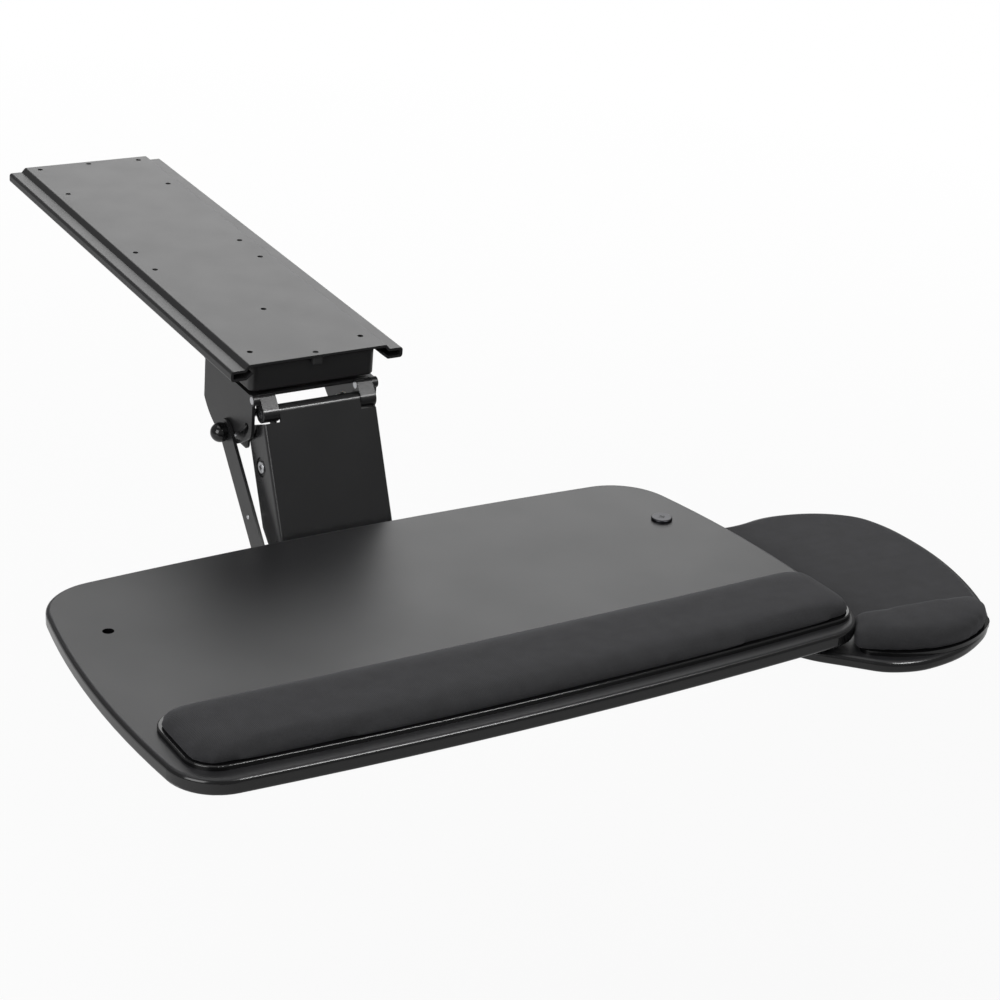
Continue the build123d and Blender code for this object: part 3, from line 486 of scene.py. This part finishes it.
def cushion_rings(depth, edge):
    """Inset, share of the crown's height and drop of each ring, from the seat up to the ridge.

    The side is a quarter circle: at a bend t it is drawn in by the radius less its cosine's part,
    and drops by the radius less its sine's part.
    """
    half = depth / 2
    bend = np.radians(np.linspace(0, 90, 8))
    rings = [(inset, 0.0, 0.0) for inset in (half, half * 0.6, half * 0.25, 2.2)]
    rings += [(1.2, 0.0, -0.5), (0.4, 0.0, -1.6)]
    rings += [(edge * (1 - np.cos(t)), 1.0, edge * (1 - np.sin(t))) for t in bend]
    rings += [(inset, 1.0, 0.0) for inset in np.linspace(edge, half, 9)[1:]]
    return rings


def cushion_mesh(length, depth, corner, edge, crown, warp, seat):
    """Points and faces of a closed cushion: rings of a rounded rectangle, crowned and warped.

    crown gives the height over the seat at a plan point, warp carries a plan point to the board.
    """
    points = []
    for inset, share, drop in cushion_rings(depth, edge):
        ring = rounded_rectangle(length, depth, corner, inset)
        height = np.full(len(ring), -drop)
        if share:
            top = crown(ring)
            height = np.maximum(top * share - drop, np.minimum(1.6, top * 0.3))
        points.append(np.column_stack([warp(ring), seat + height]))
    return np.concatenate(points), ring_faces(len(points), len(points[0]))


def swell_cloth(piece, cap, seat):
    """Blows the cloth out by simulation; a point moves at most cap mm and the seat stays flat."""
    base = piece.modifiers.new("even", "REMESH")
    base.mode = "VOXEL"
    base.voxel_size = CLOTH_MESH * MM
    graph = bpy.context.evaluated_depsgraph_get()
    even = bpy.data.meshes.new_from_object(piece.evaluated_get(graph))
    piece.modifiers.remove(base)
    material = piece.data.materials[0]
    piece.data = even
    even.materials.clear()
    even.materials.append(material)
    count = len(even.vertices)
    start = np.empty(count * 3)
    even.vertices.foreach_get("co", start)
    start = start.reshape(-1, 3)
    moved = start.copy()
    cloth = piece.modifiers.new("stuffing", "CLOTH")
    cloth.settings.quality = 5
    cloth.settings.mass = 0.3
    cloth.settings.tension_stiffness = 15
    cloth.settings.compression_stiffness = 15
    cloth.settings.bending_stiffness = 0.5
    cloth.settings.use_pressure = True
    cloth.settings.uniform_pressure_force = CLOTH_PRESSURE
    cloth.settings.effector_weights.gravity = 0.0
    cloth.point_cache.frame_end = CLOTH_FRAMES
    for step in range(1, CLOTH_FRAMES + 1):
        bpy.context.scene.frame_set(step)
    graph = bpy.context.evaluated_depsgraph_get()
    blown = piece.evaluated_get(graph).to_mesh()
    moved = np.empty(count * 3)
    blown.vertices.foreach_get("co", moved)
    moved = moved.reshape(-1, 3)
    piece.evaluated_get(graph).to_mesh_clear()
    piece.modifiers.remove(cloth)
    bpy.context.scene.frame_set(1)
    push = moved - start
    far = np.linalg.norm(push, axis=1, keepdims=True)
    push *= np.minimum(1.0, cap * MM / np.maximum(far, 1e-9))
    rise = (start[:, 2] / MM - seat - CLOTH_START) / CLOTH_RISE
    push *= np.clip(rise, 0.0, 1.0)[:, None]
    even.vertices.foreach_set("co", (start + push).reshape(-1))
    even.update()


def settle(piece):
    """Moves a piece that was built in the board's frame, in metres, to its place in the row."""
    count = len(piece.data.vertices)
    points = np.empty(count * 3)
    piece.data.vertices.foreach_get("co", points)
    piece.data.vertices.foreach_set("co", board_to_row(points.reshape(-1, 3) / MM).reshape(-1))
    piece.data.update()
    piece.data.polygons.foreach_set("use_smooth", [True] * len(piece.data.polygons))


def finish_cushion(piece, body, node):
    """Adds one subdivision, hangs the piece on its body and hides the CAD solid that it stands for."""
    even = piece.modifiers.new("fine", "SUBSURF")
    even.levels = even.render_levels = 1
    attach(piece, body)
    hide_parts(node)


# Operators
class TRAY_OT_finishes(bpy.types.Operator):
    """Gives every rigid piece the finish of its material slot."""
    bl_idname = "tray.finishes"
    bl_label = "Rigid finishes"

    def execute(self, context):
        colours = context.scene.tray_colours
        slots = {each["node"]: each["material_slot"] for each in frame["record"]["subparts"]}
        for node, piece in frame["nodes"].items():
            make = MATERIAL_OF_SLOT.get(slots[node])
            if make is None:
                continue
            if node in SMOOTH:
                make = smooth_coated_steel
            material = shared_material(make.__name__, make, colours)
            if node in DRIVEN:
                finish, axes = DRIVEN[node]
                material = driven_screw(node, getattr(colours, finish), axes)
            for slot in piece.material_slots:
                slot.material = material
        return {"FINISHED"}


class TRAY_OT_palm_cushion(bpy.types.Operator):
    """Keyboard palm rest: crowned, steep behind, rolled off in front, drawn in at its seat."""
    bl_idname = "tray.palm_cushion"
    bl_label = "Palm rest cushion"

    def execute(self, context):
        sizes = context.scene.tray_cushions
        length, depth = sizes.rest_length, sizes.rest_depth

        def crown(ring):
            """Height across the rest by its profile, a little lower towards the two ends."""
            across = np.clip(0.5 - ring[:, 1] / depth, 0, 1)
            end = np.abs(ring[:, 0]) / (length / 2)
            fall = 1 - REST_END_DROP * end**REST_END_POWER
            return sizes.rest_height * np.interp(across, *REST_SHARES.T) * fall

        def warp(ring):
            """Straight back; the front bows out by a parabola along its length."""
            across = 0.5 - ring[:, 1] / depth
            bulge = REST_BOW * (ring[:, 0] / (length / 2)) ** 2
            y = REST_BACK - depth / 2 + ring[:, 1] + bulge * across
            return np.stack([REST_SIDE + ring[:, 0], y], 1)

        points, faces = cushion_mesh(
            length, depth, REST_CORNER, sizes.edge_round, crown, warp, REST_SEAT)
        piece = mesh_object("palm_cushion", points * MM, faces, cloth_of(context))
        swell_cloth(piece, sizes.swell, REST_SEAT)
        settle(piece)
        finish_cushion(piece, "tray", "palm_pad")
        return {"FINISHED"}


class TRAY_OT_mouse_cushion(bpy.types.Operator):
    """Mouse palm rest: the same cushion bent to a crescent."""
    bl_idname = "tray.mouse_cushion"
    bl_label = "Mouse rest cushion"

    def execute(self, context):
        length, depth = CRESCENT

        def bowed(a, middle, b, share):
            """Parabola from a through the middle at a share of a half to b."""
            rest = 1 - share
            ends = a * rest * (1 - 2 * share) + b * share * (2 * share - 1)
            return ends + middle * 4 * share * rest

        def warp(ring):
            """Patch between bowed back and front, the left end's line and the right's curve."""
            u = ring[:, :1] / length + 0.5
            v = ring[:, 1:] / depth + 0.5
            (left_back, _, right_back), (left_front, _, right_front) = CRESCENT_BACK, CRESCENT_FRONT
            low, high = bowed(*CRESCENT_FRONT, u), bowed(*CRESCENT_BACK, u)
            west = left_front * (1 - v) + left_back * v
            east = bowed(right_front, CRESCENT_RIGHT, right_back, v)
            flat_front = left_front * (1 - u) + right_front * u
            flat_back = left_back * (1 - u) + right_back * u
            flat = flat_front * (1 - v) + flat_back * v
            return low * (1 - v) + high * v + west * (1 - u) + east * u - flat

        def crown(ring):
            """Level from the left, rolled off to the right end and a little lower in front."""
            along = ring[:, 0] / (length / 2)
            across = ring[:, 1] / depth
            lengthwise = 1 - 0.05 * along**2 - 0.2 * np.clip(along, 0, 1)**4
            return CRESCENT_HEIGHT * lengthwise * (1 - 0.2 * np.clip(-across, 0, 1))

        points, faces = cushion_mesh(
            length, depth, CRESCENT_CORNER, CRESCENT_ROUND, crown, warp, CRESCENT_SEAT)
        piece = mesh_object("mouse_cushion", points * MM, faces, cloth_of(context))
        swell = context.scene.tray_cushions.swell * CRESCENT_SWELL
        swell_cloth(piece, swell, CRESCENT_SEAT)
        settle(piece)
        finish_cushion(piece, "mouse_tray", "mouse_rest_pad")
        return {"FINISHED"}


class TRAY_OT_mouse_mat(bpy.types.Operator):
    """Thin cloth-faced mat on the mouse platform."""
    bl_idname = "tray.mouse_mat"
    bl_label = "Mouse mat"

    def execute(self, context):
        angle = np.linspace(0, 2 * np.pi, MAT_RAYS + 1)[:-1]
        ray = np.stack([np.cos(angle), np.sin(angle)], 1)
        reach = self.rim(ray)
        hub = MOUSE_HUB - MAT_MIDDLE
        along, off = ray @ hub, ray[:, 0] * hub[1] - ray[:, 1] * hub[0]
        cut = along - np.sqrt(np.maximum(MAT_BAY**2 - off**2, 0))
        reach = np.where((np.abs(off) < MAT_BAY) & (along > 0), np.minimum(reach, cut), reach)
        rings = MAT_SIDE + [(share, MAT_THICK) for share in MAT_FACE]
        points = np.concatenate([
            np.column_stack([
                MAT_MIDDLE + ray * (reach * share)[:, None],
                np.full(len(ray), PLATFORM_TOP + height),
            ])
            for share, height in rings
        ])
        faces = ring_faces(len(rings), len(ray))
        piece = mesh_object("mouse_mat", points * MM, faces, cloth_of(context))
        settle(piece)
        finish_cushion(piece, "mouse_tray", "mouse_pad")
        return {"FINISHED"}

    def rim(self, ray):
        """Distance along each ray to the platform's inset plan or to the mouse rest's back edge.

        The plan runs through its points as a Catmull-Rom spline.
        """
        shares = np.vstack([PLATFORM_SHARES[-2:], PLATFORM_SHARES, PLATFORM_SHARES[:3]])
        t = np.linspace(0, 1, 14)[:-1, None]
        spans = []
        for a, b, c, d in zip(shares[:-3], shares[1:-2], shares[2:-1], shares[3:]):
            square = 2 * a - 5 * b + 4 * c - d
            cube = 3 * b - a - 3 * c + d
            spans.append(0.5 * (2 * b + (c - a) * t + square * t**2 + cube * t**3))
        offset = PLATFORM_MIDDLE + np.concatenate(spans) * PLATFORM_SIZE * MAT_SHARE - MAT_MIDDLE
        turn = np.arctan2(offset[:, 1], offset[:, 0])
        order = np.argsort(turn)
        ask = np.arctan2(ray[:, 1], ray[:, 0])
        far = np.hypot(offset[:, 0], offset[:, 1])
        reach = np.interp(ask, turn[order], far[order], period=2 * np.pi)
        slant = np.clip((ask + np.pi / 2 + 0.36) * -9.0 - 1.0, -11.0, -0.6)
        back = -157.0 - MAT_MIDDLE[1] + slant
        wall = np.where(ray[:, 1] < -0.05, back / np.minimum(ray[:, 1], -0.05), 1e4)
        return np.minimum(reach, wall)


class TRAY_OT_stage(bpy.types.Operator):
    """White studio: floor, softboxes, room light and the camera."""
    bl_idname = "tray.stage"
    bl_label = "Stage"
    def execute(self, context):
        scene = context.scene
        levels = scene.tray_stage
        scene.view_settings.view_transform = "Standard"
        self.floor(CAD_BOX[0][2] - FLOOR_DROP)
        for name, place, aim, size, level, on_matt in SOFTBOXES:
            lamp = self.lamp(name, place, aim, size, getattr(levels, level))
            lamp.visible_diffuse = on_matt
        self.room(scene, levels.sky)
        self.camera(scene)
        return {"FINISHED"}

    def floor(self, level):
        """Large flat sheet, nearly white to the camera, wholly white far out, softly shadowed."""
        corners = ((-1, -1), (1, -1), (1, 1), (-1, 1))
        points = np.array([(x * FLOOR_SIDE, y * FLOOR_SIDE, level) for x, y in corners])
        material, place = new_material("studio_paper")
        paper = add_node(material, "ShaderNodeBsdfPrincipled", {
            "Base Color": linear("f4f4f4"), "Roughness": 0.9,
        })
        glow = add_node(material, "ShaderNodeEmission", {"Color": (1, 1, 1, 1), "Strength": 1.0})
        reach = add_node(material, "ShaderNodeVectorMath", {0: place}, operation="LENGTH")
        fade = spread(material, reach.outputs["Value"], 0.9, 1.0, 0.9, 2.4)
        mix = add_node(material, "ShaderNodeMixShader", {
            0: math_of(material, "MULTIPLY", seen_straight(material), fade),
            1: paper.outputs["BSDF"], 2: glow.outputs["Emission"],
        })
        add_node(material, "ShaderNodeOutputMaterial", {"Surface": mix.outputs["Shader"]})
        mesh_object("studio_floor", points, [(0, 1, 2, 3)], material, smooth=False)

    def lamp(self, name, place, aim, size, power):
        """A rectangular softbox turned to the object."""
        data = bpy.data.lights.new(name, "AREA")
        data.shape = "RECTANGLE"
        data.size, data.size_y = size
        data.energy = power
        lamp = bpy.data.objects.new(name, data)
        lamp.location = place
        lamp.rotation_euler = (Vector(aim) - Vector(place)).to_track_quat("-Z", "Y").to_euler()
        bpy.context.scene.collection.objects.link(lamp)
        return lamp

    def room(self, scene, strength):
        """White to the camera and through clear pieces, dimmer as a light and in reflections."""
        world = bpy.data.worlds.new("studio_room")
        world.use_nodes = True
        world.node_tree.nodes.clear()
        glow = add_node(world, "ShaderNodeBackground", {
            "Color": (1, 1, 1, 1), "Strength": spread(world, seen_straight(world), strength, 1.0),
        })
        add_node(world, "ShaderNodeOutputWorld", {"Surface": glow.outputs["Background"]})
        scene.world = world

    def camera(self, scene):
        """Long lens at the photograph's place, turned, tipped down and rolled to its horizon."""
        data = bpy.data.cameras.new("studio_camera")
        data.sensor_width = SENSOR_MM
        data.lens = SENSOR_MM * CAMERA_FOCUS_PX / FRAME_PX
        data.clip_end = 50.0
        turn, tilt, roll = np.radians((CAMERA_TURN, CAMERA_DOWN, CAMERA_ROLL))
        level_ahead = np.array((np.sin(turn), np.cos(turn), 0.0))
        ahead = level_ahead * np.cos(tilt) - np.array((0.0, 0.0, np.sin(tilt)))
        level = np.array((np.cos(turn), -np.sin(turn), 0.0))
        lift = np.cross(level, ahead)
        right = np.cos(roll) * level + np.sin(roll) * lift
        up = np.cos(roll) * lift - np.sin(roll) * level
        pose = np.eye(4)
        pose[:3, 0], pose[:3, 1], pose[:3, 2] = right, up, -ahead
        pose[:3, 3] = CAMERA_PLACE
        camera = bpy.data.objects.new("studio_camera", data)
        camera.matrix_world = Matrix(pose.tolist())
        scene.collection.objects.link(camera)
        scene.camera = camera


class TRAY_PT_panel(bpy.types.Panel):
    """Lists the settings and steps of the tray."""
    bl_idname = "TRAY_PT_panel"
    bl_label = "Keyboard tray"
    bl_space_type = "VIEW_3D"
    bl_region_type = "UI"
    bl_category = "Tray"

    def draw(self, context):
        for key in GROUPS:
            group = getattr(context.scene, key)
            box = self.layout.box()
            for name in group.__annotations__:
                box.prop(group, name)
        for step in STEPS:
            self.layout.operator(step.bl_idname)


STEPS = (
    TRAY_OT_finishes, TRAY_OT_palm_cushion, TRAY_OT_mouse_cushion, TRAY_OT_mouse_mat, TRAY_OT_stage,
)
GROUPS = {"tray_cushions": TrayCushions, "tray_colours": TrayColours, "tray_stage": TrayStage}


def register():
    """Adds the settings, operators and panel to Blender."""
    for each in (*GROUPS.values(), *STEPS, TRAY_PT_panel):
        bpy.utils.register_class(each)
    for name, group in GROUPS.items():
        setattr(bpy.types.Scene, name, bpy.props.PointerProperty(type=group))


def unregister():
    """Takes them out again."""
    for name in GROUPS:
        delattr(bpy.types.Scene, name)
    for each in (TRAY_PT_panel, *STEPS[::-1], *GROUPS.values()):
        bpy.utils.unregister_class(each)


def main():
    """Runs every step in order."""
    register()
    for step in STEPS:
        area, name = step.bl_idname.split(".")
        getattr(getattr(bpy.ops, area), name)()


if __name__ == "__main__":
    main()
